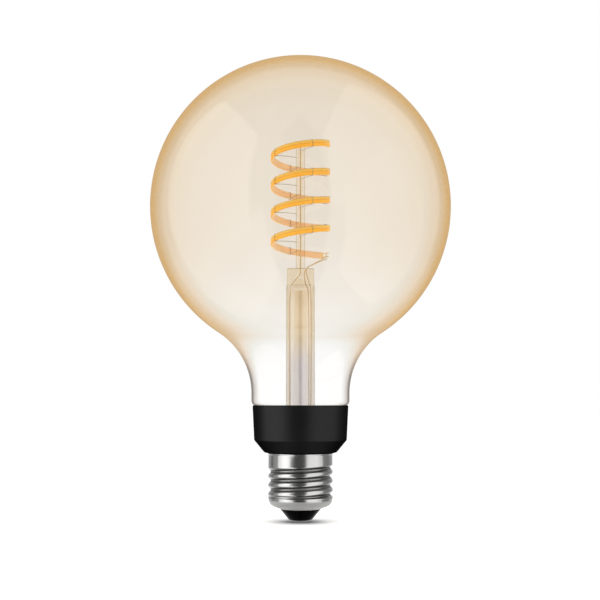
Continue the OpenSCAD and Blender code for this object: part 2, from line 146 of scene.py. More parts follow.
def arc(cx, cz, r, start, end, steps):
    """Points on an arc, angles in degrees from +X towards +Z."""
    return [
        (cx + r * math.cos(math.radians(start + (end - start) * i / steps)),
         cz + r * math.sin(math.radians(start + (end - start) * i / steps)))
        for i in range(steps + 1)
    ]


def ease(x, low, high):
    t = min(1.0, max(0.0, (x - low) / (high - low)))
    return t * t * (3 - 2 * t)


def finish_mesh(bm, name, smooth_angle=40.0):
    bmesh.ops.remove_doubles(bm, verts=bm.verts, dist=1e-7)
    bmesh.ops.dissolve_degenerate(bm, dist=1e-8, edges=bm.edges)
    bmesh.ops.recalc_face_normals(bm, faces=bm.faces)
    limit = math.radians(smooth_angle)
    for face in bm.faces:
        face.smooth = True
    for edge in bm.edges:
        if len(edge.link_faces) == 2:
            edge.smooth = edge.calc_face_angle(0.0) < limit
    mesh = bpy.data.meshes.new(name)
    bm.to_mesh(mesh)
    bm.free()
    return mesh


def add_rings(bm, rings, closed_ring=True, closed_path=False, caps=False):
    """Joins rings of points, in millimetres, with quads."""
    rows = [[bm.verts.new(Vector(p) * MM) for p in ring] for ring in rings]
    count = len(rows[0])
    spans = len(rows) if closed_path else len(rows) - 1
    sides = count if closed_ring else count - 1
    for i in range(spans):
        a, b = rows[i], rows[(i + 1) % len(rows)]
        for j in range(sides):
            k = (j + 1) % count
            bm.faces.new((a[j], a[k], b[k], b[j]))
    if caps:
        bm.faces.new(list(reversed(rows[0])))
        bm.faces.new(rows[-1])
    return rows


def revolve(bm, profile, steps=128):
    """Turns a profile of (radius, height) points round the lamp's axis."""
    rings = []
    for r, z in profile:
        r = max(r, 1e-5)
        rings.append([
            (r * math.cos(2 * math.pi * i / steps), r * math.sin(2 * math.pi * i / steps), z)
            for i in range(steps)
        ])
    add_rings(bm, rings)


def lathe(name, profile, steps=128, smooth_angle=40.0):
    """A closed turned mesh: the profile's last point joins its first."""
    bm = bmesh.new()
    revolve(bm, list(profile) + [profile[0]], steps)
    bmesh.ops.remove_doubles(bm, verts=bm.verts, dist=SEAM_MERGE)
    return finish_mesh(bm, name, smooth_angle)


def lathe_with_tips(name, profile, steps, smooth_angle):
    """A closed turned mesh whose profile starts and ends on the axis."""
    bm = bmesh.new()
    revolve(bm, profile, steps)
    bmesh.ops.remove_doubles(bm, verts=bm.verts, dist=TIP_MERGE)
    return finish_mesh(bm, name, smooth_angle)


def two_sides(bm, outer_faces):
    """The first faces take the outside's material, the others the inside's."""
    bm.faces.ensure_lookup_table()
    for i, face in enumerate(bm.faces):
        face.material_index = 0 if i < outer_faces else 1


def smooth_path(points, per_span=8):
    """A Catmull-Rom curve through the points."""
    pts = [Vector(p) for p in points]
    pts = [2 * pts[0] - pts[1]] + pts + [2 * pts[-1] - pts[-2]]
    out = []
    for i in range(1, len(pts) - 2):
        p0, p1, p2, p3 = pts[i - 1:i + 3]
        for s in range(per_span):
            t = s / per_span
            out.append(0.5 * ((2 * p1) + (p2 - p0) * t + (2 * p0 - 5 * p1 + 4 * p2 - p3) * t ** 2
                              + (3 * p1 - p0 - 3 * p2 + p3) * t ** 3))
    out.append(pts[-2])
    return out


def add_wire(bm, points, radius, sides=10):
    """A round wire along points, with closed ends."""
    pts = [Vector(p) for p in points]
    tangents = []
    for i in range(len(pts)):
        a, b = pts[max(0, i - 1)], pts[min(len(pts) - 1, i + 1)]
        tangents.append((b - a).normalized())
    normal = tangents[0].orthogonal().normalized()
    rings = []
    for p, tangent in zip(pts, tangents):
        normal = (normal - normal.dot(tangent) * tangent).normalized()
        other = tangent.cross(normal)
        rings.append([
            p + radius * (math.cos(2 * math.pi * j / sides) * normal
                          + math.sin(2 * math.pi * j / sides) * other)
            for j in range(sides)
        ])
    add_rings(bm, rings, caps=True)


def wire_mesh(name, paths, radius, sides=10):
    bm = bmesh.new()
    for path in paths:
        add_wire(bm, path, radius, sides)
    return finish_mesh(bm, name, 50.0)


def piece(name, mesh, material, nodes):
    """Puts a mesh in the scene as a piece that stands for CAD nodes."""
    obj = bpy.data.objects.new(name, mesh)
    bpy.context.scene.collection.objects.link(obj)
    for m in material if isinstance(material, (list, tuple)) else [material]:
        obj.data.materials.append(m)
    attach(obj, ROOT)
    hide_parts(*nodes)
    return obj


# ---------------------------------------------------------------------------
# Materials
# ---------------------------------------------------------------------------


# heights in metres between which one look turns into another
NECK_TO_RIM = (0.057, 0.071)
COAT_RISE = (0.068, 0.136)
COAT_FOOT = (0.066, 0.084)
STEM_TO_GOLD = (0.062, 0.080)
PRESS_START = (0.0958, 0.0972)
CONE_TO_THREAD = (0.0084, 0.0092)
# distances from the axis, in metres, from the thread's roots to its crests
ROOT_TO_CREST = (0.01225, 0.01295)


class Nodes:
    """Short names for building a node tree."""

    def __init__(self, name="", tree=None, output="ShaderNodeOutputMaterial"):
        if tree is None:
            self.material = bpy.data.materials.new(name)
            self.material.use_nodes = True
            tree = self.material.node_tree
        self.tree = tree
        self.tree.nodes.clear()
        self.out = self.add(output)

    def add(self, kind, **values):
        node = self.tree.nodes.new(kind)
        for key, value in values.items():
            setattr(node, key, value)
        return node

    def link(self, a, b):
        self.tree.links.new(a, b)

    def object_place(self):
        return self.add("ShaderNodeTexCoord").outputs["Object"]

    def height(self):
        split = self.add("ShaderNodeSeparateXYZ")
        self.link(self.object_place(), split.inputs[0])
        return split.outputs["Z"]

    def facing(self):
        """0 where the surface is seen face-on, 1 where it is seen edge-on."""
        weight = self.add("ShaderNodeLayerWeight")
        weight.inputs["Blend"].default_value = 0.5
        return weight.outputs["Facing"]

    def upward(self):
        """How far the surface faces up, from -1 to 1."""
        split = self.add("ShaderNodeSeparateXYZ")
        self.link(self.add("ShaderNodeNewGeometry").outputs["Normal"], split.inputs[0])
        return split.outputs["Z"]

    def clear_surface(self, through, gloss, facing, face_on, edge_on):
        """Clear glass with a weak reflection that grows towards the edges."""
        share = self.math("ADD", self.math("MULTIPLY", self.math("POWER", facing, 4.0), edge_on),
                          face_on)
        mix = self.add("ShaderNodeMixShader")
        self.link(share, mix.inputs[0])
        self.link(through.outputs[0], mix.inputs[1])
        self.link(gloss.outputs[0], mix.inputs[2])
        self.link(mix.outputs[0], self.out.inputs["Surface"])

    def noise(self, scale, detail=4.0, roughness=0.5, stretch=None):
        source = self.object_place()
        if stretch:
            mapping = self.add("ShaderNodeMapping")
            mapping.inputs["Scale"].default_value = stretch
            self.link(source, mapping.inputs["Vector"])
            source = mapping.outputs[0]
        node = self.add("ShaderNodeTexNoise")
        node.inputs["Scale"].default_value = scale
        node.inputs["Detail"].default_value = detail
        node.inputs["Roughness"].default_value = roughness
        self.link(source, node.inputs["Vector"])
        return node.outputs["Fac"]

    def ramp(self, source, stops):
        node = self.add("ShaderNodeValToRGB")
        elements = node.color_ramp.elements
        while len(elements) < len(stops):
            elements.new(0.5)
        for element, (place, colour) in zip(elements, stops):
            element.position = place
            element.color = (*colour, 1.0)
        self.link(source, node.inputs["Fac"])
        return node.outputs["Color"]

    def map_range(self, source, low, high, to_low=0.0, to_high=1.0, smooth=False):
        node = self.add("ShaderNodeMapRange")
        if smooth:
            node.interpolation_type = "SMOOTHSTEP"
        node.inputs["From Min"].default_value = low
        node.inputs["From Max"].default_value = high
        node.inputs["To Min"].default_value = to_low
        node.inputs["To Max"].default_value = to_high
        self.link(source, node.inputs["Value"])
        return node.outputs["Result"]

    def math(self, operation, a, b=None):
        node = self.add("ShaderNodeMath", operation=operation)
        for socket, value in zip(node.inputs, (a, b)):
            if value is None:
                continue
            if isinstance(value, (int, float)):
                socket.default_value = value
            else:
                self.link(value, socket)
        return node.outputs[0]

    def mix(self, factor, a, b, blend="MIX"):
        node = self.add("ShaderNodeMix", data_type="RGBA", blend_type=blend)
        for socket, value in ((node.inputs[0], factor), (node.inputs[6], a), (node.inputs[7], b)):
            if isinstance(value, (int, float)):
                socket.default_value = value
            elif isinstance(value, tuple):
                socket.default_value = (*value, 1.0)
            else:
                self.link(value, socket)
        return node.outputs[2]

    def bump(self, source, strength, distance):
        node = self.add("ShaderNodeBump")
        node.inputs["Strength"].default_value = strength
        node.inputs["Distance"].default_value = distance
        self.link(source, node.inputs["Height"])
        return node.outputs["Normal"]


def solid_material(name, colour, roughness, metallic=0.0, grain=900.0, variation=0.06,
                   bump=0.15, bump_depth=0.00003, coat=0.0, stretch=None, roughness_range=0.06,
                   specular=0.5, glow=0.0):
    """A surface with fine grain: colour, roughness and bump all follow the same noise."""
    n = Nodes(name)
    shader = n.add("ShaderNodeBsdfPrincipled")
    fine = n.noise(grain, 5.0, 0.6, stretch)
    broad = n.noise(grain / 12.0, 3.0, 0.5)
    dark = tuple(c * (1.0 - variation) for c in colour)
    light = tuple(min(1.0, c * (1.0 + variation)) for c in colour)
    n.link(n.ramp(broad, [(0.3, dark), (0.7, light)]), shader.inputs["Base Color"])
    rough = n.map_range(fine, 0.3, 0.7, roughness - roughness_range / 2,
                        roughness + roughness_range / 2)
    n.link(rough, shader.inputs["Roughness"])
    shader.inputs["Metallic"].default_value = metallic
    shader.inputs["Specular IOR Level"].default_value = specular
    shader.inputs["Coat Weight"].default_value = coat
    # painted glow: where glow is set, the surface glows faintly in its own colour
    shader.inputs["Emission Color"].default_value = (*colour, 1.0)
    shader.inputs["Emission Strength"].default_value = glow
    n.link(n.bump(fine, bump, bump_depth), shader.inputs["Normal"])
    n.link(shader.outputs[0], n.out.inputs["Surface"])
    return n.material


def amber_glass():
    """Clear glass whose amber coat darkens to gold at the rim and fades out at the neck."""
    n = Nodes("amber_coated_glass")
    facing = n.facing()
    # what one wall lets through, from face-on to grazing
    coat = n.ramp(facing, [
        (0.00, (0.930, 0.885, 0.818)),
        (0.30, (0.912, 0.858, 0.780)),
        (0.46, (0.904, 0.839, 0.743)),
        (0.59, (0.883, 0.791, 0.671)),
        (0.65, (0.838, 0.725, 0.570)),
        (0.70, (0.824, 0.692, 0.513)),
        (0.76, (0.815, 0.645, 0.395)),
        (0.82, (0.790, 0.610, 0.340)),
        (1.00, (0.740, 0.560, 0.290)),
    ])
    # bare glass: golden at the rim above the neck, grey-brown at the neck's own edges
    golden = n.ramp(facing, [
        (0.00, (1.000, 1.000, 0.998)),
        (0.32, (0.995, 0.993, 0.985)),
        (0.45, (0.962, 0.958, 0.938)),
        (0.51, (0.930, 0.926, 0.892)),
        (0.58, (0.911, 0.872, 0.818)),
        (0.64, (0.888, 0.818, 0.742)),
        (0.69, (0.835, 0.750, 0.648)),
        (0.76, (0.765, 0.660, 0.545)),
        (1.00, (0.730, 0.610, 0.470)),
    ])
    neck = n.ramp(facing, [
        (0.00, (1.000, 1.000, 1.000)),
        (0.44, (0.998, 0.997, 0.995)),
        (0.52, (0.945, 0.940, 0.928)),
        (0.60, (0.850, 0.828, 0.812)),
        (0.65, (0.799, 0.777, 0.755)),
        (0.71, (0.625, 0.590, 0.570)),
        (0.79, (0.440, 0.405, 0.380)),
        (1.00, (0.400, 0.365, 0.340)),
    ])
    height = n.height()
    clear = n.mix(n.map_range(height, *NECK_TO_RIM, smooth=True), neck, golden)
    # the coat fades towards the neck, later at the rim, where it is seen edge-on
    later = n.ramp(facing, [
        (0.00, (0.12,) * 3), (0.20, (0.24,) * 3), (0.37, (0.23,) * 3), (0.46, (0.18,) * 3),
        (0.53, (0.28,) * 3), (0.59, (0.46,) * 3), (0.70, (0.66,) * 3), (0.76, (0.84,) * 3),
        (0.87, (1.00,) * 3),
    ])
    lift = n.math("ADD", n.math("MULTIPLY", later, 0.05),
                  n.map_range(n.noise(14.0, 2.0), 0.3, 0.7, -0.002, 0.002))
    fade = n.math("MULTIPLY",
                  n.map_range(n.math("ADD", height, lift), *COAT_RISE, smooth=True),
                  n.map_range(height, *COAT_FOOT, smooth=True))
    tint = n.mix(fade, clear, coat)
    through = n.add("ShaderNodeBsdfTransparent")
    n.link(tint, through.inputs["Color"])
    gloss = n.add("ShaderNodeBsdfGlossy")
    gloss.inputs["Roughness"].default_value = 0.02
    gloss.inputs["Color"].default_value = (1.0, 0.97, 0.92, 1.0)
    n.clear_surface(through, gloss, facing, 0.042, 0.16)
    return n.material


def inner_glass():
    """The inside face of the blown glass, which adds no tint of its own."""
    n = Nodes("inner_glass_face")
    through = n.add("ShaderNodeBsdfTransparent")
    streak = n.noise(30.0, 2.0, 0.4, (1.0, 1.0, 0.2))
    n.link(n.ramp(streak, [(0.3, (0.996, 0.996, 0.994)), (0.7, (1.0, 1.0, 1.0))]),
           through.inputs["Color"])
    n.link(through.outputs[0], n.out.inputs["Surface"])
    return n.material


def stem_glass(name, upper, lower, press=None, gloss=0.01):
    """Drawn glass with faint lengthwise draw lines; each list is what one wall lets through,
    from face-on to grazing, in the gold upper part, by the collar and in the press."""
    n = Nodes(name)
    facing = n.facing()
    height = n.height()
    tint = n.mix(n.map_range(height, *STEM_TO_GOLD, smooth=True), n.ramp(facing, lower),
                 n.ramp(facing, upper))
    if press:
        tint = n.mix(n.map_range(height, *PRESS_START, smooth=True), tint,
                     n.ramp(facing, press))
    streak = n.noise(260.0, 3.0, 0.6, (1.0, 1.0, 0.03))
    lines = n.ramp(streak, [(0.35, (0.982, 0.976, 0.966)), (0.65, (1.0, 1.0, 1.0))])
    through = n.add("ShaderNodeBsdfTransparent")
    n.link(n.mix(1.0, tint, lines, "MULTIPLY"), through.inputs["Color"])
    shine = n.add("ShaderNodeBsdfGlossy")
    shine.inputs["Roughness"].default_value = 0.03
    n.link(n.bump(streak, 0.06, 0.00005), shine.inputs["Normal"])
    n.clear_surface(through, shine, facing, gloss, gloss * 4.0)
    return n.material


def phosphor(name, colour, edge, glow, painted_top_shade=None):
    """Silicone loaded with phosphor: saturated, slightly translucent, with painted olive shade on
    faces turned up.
    """
    n = Nodes(name)
    shader = n.add("ShaderNodeBsdfPrincipled")
    grain = n.noise(2600.0, 4.0, 0.6)
    blotch = n.noise(260.0, 3.0, 0.5)
    body = n.ramp(blotch, [(0.3, tuple(c * 0.95 for c in colour)), (0.7, colour)])
    fleck = n.map_range(grain, 0.55, 0.8, 0.0, 0.25)
    body = n.mix(fleck, body, edge)
    if painted_top_shade:
        # painted shade: faces turned up are darkened towards the painted top shade colour
        body = n.mix(n.map_range(n.upward(), 0.10, 0.75, smooth=True), body, painted_top_shade)
    n.link(body, shader.inputs["Base Color"])
    shader.inputs["Roughness"].default_value = 0.42
    shader.inputs["Subsurface Weight"].default_value = 0.25
    shader.inputs["Subsurface Radius"].default_value = (1.0, 0.45, 0.15)
    shader.inputs["Subsurface Scale"].default_value = 0.0006
    # painted glow: the phosphor glows faintly in its own colour so that it looks lit
    n.link(body, shader.inputs["Emission Color"])
    shader.inputs["Emission Strength"].default_value = glow
    n.link(n.bump(grain, 0.2, 0.00002), shader.inputs["Normal"])
    n.link(shader.outputs[0], n.out.inputs["Surface"])
    return n.material


def nickel_sheet():
    """Satin nickel plate: fine turned streaks, rougher down in the thread's roots, with painted
    shade darkening the roots and the thread where it is seen towards edge-on.
    """
    n = Nodes("nickel_shell_metal")
    shader = n.add("ShaderNodeBsdfPrincipled")
    shader.inputs["Metallic"].default_value = 1.0
    streak = n.noise(420.0, 4.0, 0.6, (0.25, 0.25, 3.0))
    haze = n.noise(90.0, 3.0, 0.5)
    colour = n.ramp(haze, [(0.3, (0.69, 0.685, 0.675)), (0.7, (0.75, 0.745, 0.735))])
    # painted shade: the thread's colour darkens where it is seen towards edge-on
    edge = n.ramp(n.facing(), [
        (0.15, (1.0,) * 3), (0.20, (0.86,) * 3), (0.26, (0.72,) * 3), (0.31, (0.26,) * 3),
        (0.48, (0.19,) * 3), (0.60, (0.25,) * 3), (0.80, (0.24,) * 3), (1.00, (0.30,) * 3),
    ])
    flat = n.add("ShaderNodeVectorMath", operation="MULTIPLY")
    flat.inputs[1].default_value = (1.0, 1.0, 0.0)
    n.link(n.object_place(), flat.inputs[0])
    out = n.add("ShaderNodeVectorMath", operation="LENGTH")
    n.link(flat.outputs["Vector"], out.inputs[0])
    crest = n.map_range(out.outputs["Value"], *ROOT_TO_CREST, smooth=True)
    # painted shade: the thread's roots are darkened
    painted_root_shade = n.map_range(crest, 0.0, 1.0, 0.62, 1.0)
    # the cone under the thread is darker, less metallic and rougher
    cone = n.map_range(n.height(), *CONE_TO_THREAD, 1.0, 0.0, smooth=True)
    tone = n.mix(cone, n.mix(1.0, n.mix(1.0, colour, edge, "MULTIPLY"), painted_root_shade, "MULTIPLY"),
                 n.mix(1.0, colour, (0.56, 0.56, 0.56), "MULTIPLY"))
    n.link(n.map_range(cone, 0.0, 1.0, 1.0, 0.35), shader.inputs["Metallic"])
    n.link(tone, shader.inputs["Base Color"])
    polish = n.map_range(streak, 0.3, 0.7, 0.17, 0.27)
    worn = n.math("MAXIMUM", n.map_range(crest, 0.0, 1.0, 0.26, 0.0),
                  n.math("MULTIPLY", cone, 0.32))
    n.link(n.math("ADD", polish, worn), shader.inputs["Roughness"])
    n.link(n.bump(streak, 0.08, 0.00002), shader.inputs["Normal"])
    n.link(shader.outputs[0], n.out.inputs["Surface"])
    return n.material


def collar_plastic():
    """Fine spark-eroded matte black moulding, with little sheen where it is seen edge-on."""
    n = Nodes("collar_black_plastic")
    fine = n.noise(5200.0, 4.0, 0.65)
    broad = n.noise(120.0, 3.0, 0.5)
    normal = n.bump(fine, 0.25, 0.00002)
    body = n.add("ShaderNodeBsdfDiffuse")
    # painted shade: faces turned down, the chamfer most, take little light, so their colour and
    # sheen are darkened
    under = n.map_range(n.upward(), -0.60, -0.25, 0.50, 1.0, smooth=True)
    base = n.ramp(broad, [(0.3, (0.0040, 0.0040, 0.0041)), (0.7, (0.0050, 0.0050, 0.0051))])
    n.link(n.mix(1.0, base, under, "MULTIPLY"), body.inputs["Color"])
    sheen = n.add("ShaderNodeBsdfGlossy")
    n.link(n.map_range(fine, 0.3, 0.7, 0.36, 0.44), sheen.inputs["Roughness"])
    level = n.ramp(n.facing(), [
        (0.10, (0.0270,) * 3), (0.30, (0.0230,) * 3), (0.45, (0.0100,) * 3),
        (0.60, (0.0035,) * 3), (1.00, (0.0010,) * 3),
    ])
    n.link(n.mix(1.0, level, under, "MULTIPLY"), sheen.inputs["Color"])
    n.link(normal, body.inputs["Normal"])
    n.link(normal, sheen.inputs["Normal"])
    both = n.add("ShaderNodeAddShader")
    n.link(body.outputs[0], both.inputs[0])
    n.link(sheen.outputs[0], both.inputs[1])
    n.link(both.outputs[0], n.out.inputs["Surface"])
    return n.material


MATERIALS = {
    "amber_glass": amber_glass(),
    "inner_glass": inner_glass(),
    "clear_glass": stem_glass(
        "clear_stem_glass",
        [(0.0, (0.990, 0.960, 0.910)), (0.25, (0.985, 0.950, 0.892)), (0.42, (0.930, 0.880, 0.800)),
         (0.67, (0.877, 0.819, 0.714)), (1.0, (0.840, 0.780, 0.660))],
        [(0.0, (0.940, 0.920, 0.910)), (0.25, (0.935, 0.915, 0.903)), (0.42, (0.915, 0.885, 0.855)),
         (0.67, (0.800, 0.755, 0.700)), (1.0, (0.760, 0.710, 0.640))],
        [(0.0, (0.985, 0.935, 0.850)), (0.40, (0.975, 0.922, 0.830)), (0.75, (0.860, 0.800, 0.700)),
         (1.0, (0.800, 0.740, 0.630))], 0.02),
    "stem_bore": stem_glass(
        "stem_bore_glass",
        [(0.0, (0.995, 0.980, 0.945)), (0.35, (0.988, 0.965, 0.930)), (0.65, (0.950, 0.925, 0.885)),
         (1.0, (0.920, 0.895, 0.850))],
        [(0.0, (0.955, 0.948, 0.945)), (0.35, (0.952, 0.942, 0.938)), (0.65, (0.880, 0.850, 0.815)),
         (1.0, (0.800, 0.760, 0.720))]),
    "exhaust_glass": stem_glass(
        "exhaust_glass",
        [(0.0, (0.950, 0.918, 0.866)), (0.05, (0.987, 0.958, 0.914)), (0.30, (1.000, 0.988, 0.966)),
         (1.0, (0.970, 0.950, 0.920))],
        [(0.0, (0.908, 0.904, 0.912)), (0.05, (0.975, 0.972, 0.978)), (0.30, (1.0, 0.998, 1.0)),
         (1.0, (0.950, 0.950, 0.950))]),
    "post_glass": stem_glass(
        "post_glass",
        [(0.0, (0.995, 0.970, 0.925)), (0.30, (0.990, 0.965, 0.920)), (0.60, (0.930, 0.890, 0.825)),
         (1.0, (0.880, 0.830, 0.760))],
        [(0.0, (0.995, 0.970, 0.925)), (1.0, (0.880, 0.830, 0.760))]),
    # painted glow: the strip foil, the phosphor bands, the back coat and the leads glow faintly so
    # that they look lit
    "strip_metal": solid_material("strip_metal", (0.95, 0.64, 0.24), 0.45, glow=0.15),
    "warm_phosphor": phosphor("warm_phosphor", (0.95, 0.485, 0.046), (1.0, 0.60, 0.14), 0.20),
    # the last colour given to cool_phosphor and back_coat is their painted top shade
    "cool_phosphor": phosphor("cool_phosphor", (0.85, 0.53, 0.105), (0.95, 0.66, 0.24), 0.18,
                              (0.45, 0.32, 0.13)),
    "back_coat": phosphor("back_coat", (0.86, 0.57, 0.32), (0.92, 0.66, 0.42), 0.20,
                          (0.62, 0.46, 0.25)),
    "chip_ceramic": solid_material("chip_ceramic", (0.85, 0.83, 0.74), 0.5),
    "lead_metal": solid_material("lead_metal", (0.66, 0.52, 0.33), 0.5, glow=0.12),
    "hook_metal": solid_material("hook_metal", (0.42, 0.33, 0.20), 0.5, metallic=0.2),
    "tab_metal": solid_material("tab_metal", (0.90, 0.80, 0.62), 0.4, metallic=0.3),
    "cement": solid_material("cement", (0.72, 0.69, 0.62), 0.9, grain=500.0, bump=0.5),
    "black_plastic": collar_plastic(),
    "circuit_board": solid_material("board_mask", (0.02, 0.17, 0.06), 0.35, grain=1400.0),
    "radio_board": solid_material("radio_board_mask", (0.015, 0.07, 0.20), 0.35, grain=1400.0),
    "black_epoxy": solid_material("black_epoxy", (0.02, 0.02, 0.02), 0.6, grain=2500.0),
    "ferrite": solid_material("ferrite", (0.05, 0.05, 0.055), 0.7, grain=1200.0, bump=0.4),
    "copper_wire": solid_material("copper_wire", (0.60, 0.24, 0.10), 0.3, metallic=0.9,
                                  stretch=(0.2, 0.2, 6.0), bump=0.8),
    "yellow_plastic": solid_material("yellow_box", (0.75, 0.50, 0.04), 0.4),
    "resistor_lacquer": solid_material("resistor_lacquer", (0.12, 0.30, 0.22), 0.4),
    "blue_lacquer": solid_material("blue_lacquer", (0.03, 0.09, 0.40), 0.35),
    "capacitor_can": solid_material("capacitor_can", (0.72, 0.72, 0.74), 0.3, metallic=1.0),
    "capacitor_sleeve": solid_material("capacitor_sleeve", (0.02, 0.025, 0.10), 0.3, coat=0.3),
    "tinned_steel": solid_material("tinned_steel", (0.68, 0.68, 0.67), 0.32, metallic=1.0),
    "red_insulation": solid_material("red_insulation", (0.42, 0.03, 0.025), 0.35),
    "blue_insulation": solid_material("blue_insulation", (0.03, 0.08, 0.36), 0.35),
    "nickel_shell": nickel_sheet(),
    "black_vitrite": solid_material("black_vitrite", (0.001, 0.001, 0.001), 0.2, grain=700.0,
                                    bump=0.05, roughness_range=0.04, specular=0.015),
    # painted shade: the centre contact's metal is made near black, standing for the contact shadow
    # it sits in
    "contact_metal": solid_material("contact_metal", (0.045, 0.044, 0.043), 0.42, metallic=1.0,
                                    grain=1500.0, bump=0.3),
}

# the CAD pieces that stay, mostly inside the collar and the cap, take their slot's material
slot_of = {s["node"]: s["material_slot"] for s in frame["record"]["subparts"]}
for node_name, node_object in frame["nodes"].items():
    node_object.data.materials.clear()
    node_object.data.materials.append(MATERIALS[slot_of[node_name]])


# ---------------------------------------------------------------------------
# Glass
# ---------------------------------------------------------------------------


def bulb_profile(inset):
    """Outline from the neck's foot to the top of the globe, smaller by inset."""
    spigot = SPIGOT_R - inset
    bead = BEAD_R - inset
    start = -math.degrees(math.acos((spigot - BEAD_X) / bead))
    tangent = math.degrees(math.atan2(GLOBE_Z - SHOULDER_Z, SHOULDER_X))
    points = [(spigot, SPIGOT_Z), (spigot, SPIGOT_Z + 3.0)]
    points += arc(BEAD_X, BEAD_Z, bead, start, 0.0, 12)
    points += arc(SHOULDER_X, SHOULDER_Z, SHOULDER_R + inset, 180.0, 180.0 - tangent, 40)
    points += arc(0.0, GLOBE_Z, GLOBE_R - inset, -tangent, 90.0, 110)[1:]
    return points


def make_globe():
    steps = 180
    outer = bulb_profile(0.0)
    inner = bulb_profile(WALL)
    bm = bmesh.new()
    revolve(bm, outer, steps)
    outer_faces = len(bm.faces)
    revolve(bm, list(reversed(inner)) + [outer[0]], steps)
    two_sides(bm, outer_faces)
    bmesh.ops.remove_doubles(bm, verts=bm.verts, dist=SEAM_MERGE)
    mesh = finish_mesh(bm, "glass_globe_blown")
    piece("glass_globe_blown", mesh, [MATERIALS["amber_glass"], MATERIALS["inner_glass"]],
          ["glass_globe"])


def press_ring(z, half_w, half_t, power, steps):
    """A ring between a circle (power 2) and a rounded box (higher powers)."""
    ring = []
    for i in range(steps):
        a = 2 * math.pi * i / steps
        c, s = math.cos(a), math.sin(a)
        ring.append((
            half_w * math.copysign(abs(c) ** (2 / power), c),
            half_t * math.copysign(abs(s) ** (2 / power), s),
            z,
        ))
    return ring


def make_stem():
    steps = 96
    bm = bmesh.new()

    def circle(r, z):
        return press_ring(z, r, r, 2.0, steps)

    rim = 1.0
    flare_x = STEM_R + FLARE_R
    flare_z = SPIGOT_Z + rim + FLARE_R
    rings = [circle(SPIGOT_R, SPIGOT_Z), circle(SPIGOT_R, SPIGOT_Z + rim)]
    rings += [circle(r, z) for r, z in arc(flare_x, flare_z, FLARE_R, 270.0, 180.0, 12)]
    rings += [circle(STEM_R, z) for z in (60.0, 75.0, 85.0, 92.0, PRESS_Z - 0.7)]
    # the round tube turns into the flat press
    steps_to_press = 8
    squareness = 4.0
    for i in range(steps_to_press + 1):
        t = i / steps_to_press
        u = ease(t, 0.0, 1.0)
        rings.append(press_ring(
            PRESS_Z - 0.5 + 1.5 * t,
            STEM_R + (PRESS_HALF_W - STEM_R) * u,
            STEM_R + (PRESS_HALF_T - STEM_R) * u,
            2.0 + squareness * u, steps))
    for z in (PRESS_Z + 3.0, PRESS_TOP - 1.2, PRESS_TOP - 0.35):
        rings.append(press_ring(z, PRESS_HALF_W, PRESS_HALF_T, 2.0 + squareness, steps))
    for drop, inset in ((0.1, 0.12), (0.0, 0.4)):
        rings.append(press_ring(PRESS_TOP - drop, PRESS_HALF_W - inset, PRESS_HALF_T - inset,
                                2.0 + squareness, steps))
    rings.append(press_ring(PRESS_TOP, 0.01, 0.01, 2.0, steps))
    # the bore narrows to a pointed arch inside the press
    arch_squash = 0.62
    arch = [(0.01, 3.3), (0.9, 3.0), (1.7, 2.3), (2.5, 1.2), (3.2, 0.0), (3.9, -1.6),
            (4.5, -3.4), (STEM_BORE, -5.6)]
    inner = []
    for half_w, rise in arch:
        z = PRESS_Z + rise
        squash = 1.0 - arch_squash * ease(rise, -1.0, 1.0)
        inner.append(press_ring(z, half_w, half_w * squash, 2.0, steps))
    inner += [circle(STEM_BORE, z) for z in (85.0, 75.0, 60.0)]
    inner += [circle(r, z) for r, z in arc(flare_x, flare_z, FLARE_R + rim, 180.0, 270.0, 12)]
    add_rings(bm, rings)
    outer_faces = len(bm.faces)
    add_rings(bm, inner + [rings[0]])
    two_sides(bm, outer_faces)
    bmesh.ops.remove_doubles(bm, verts=bm.verts, dist=TIP_MERGE)
    mesh = finish_mesh(bm, "stem_tube_drawn", 50.0)
    piece("stem_tube_drawn", mesh, [MATERIALS["clear_glass"], MATERIALS["stem_bore"]],
          ["stem_tube"])


def make_exhaust():
    centre = EXHAUST_LOW.z + EXHAUST_R
    bore = EXHAUST_R - EXHAUST_WALL
    top = EXHAUST_HIGH.z
    stations = (55.0, 75.0)
    sealed = 0.4
    profile = [(0.0, EXHAUST_LOW.z)]
    profile += arc(0.0, centre, EXHAUST_R, -80.0, 0.0, 12)
    profile += [(EXHAUST_R, z) for z in (*stations, top)]
    profile += [(bore, z) for z in (top, *reversed(stations))]
    profile += arc(0.0, centre + sealed, bore, 0.0, -80.0, 10)
    profile += [(0.0, centre + sealed - bore)]
    mesh = lathe_with_tips("exhaust_tube_drawn", profile, 64, 50.0)
    piece("exhaust_tube_drawn", mesh, MATERIALS["exhaust_glass"],
          ["exhaust_tube"])


def make_post():
    top = POST_HIGH.z
    foot = POST_LOW.z
    edge = 0.5
    stations = (115.0, 125.0, 135.0, 145.0)
    profile = [(POST_R, foot), (POST_R, foot + 0.8)]
    profile += [(POST_R, z) for z in stations]
    profile += arc(POST_R - edge, top - edge, edge, 0.0, 90.0, 6)
    profile += [(POST_BORE, top)]
    profile += [(POST_BORE, z) for z in (*reversed(stations), foot)]
    mesh = lathe("centre_post_drawn", profile, 64, 50.0)
    piece("centre_post_drawn", mesh, MATERIALS["post_glass"], ["centre_post"])


# ---------------------------------------------------------------------------
# Filament
# ---------------------------------------------------------------------------


def coil_point(angle, r, dz=0.0):
    """A point on the coil; the angle runs clockwise seen from above."""
    a = math.radians(angle)
    return Vector((r * math.cos(a), -r * math.sin(a), COIL_TOP - COIL_PITCH * angle / 360.0 + dz))


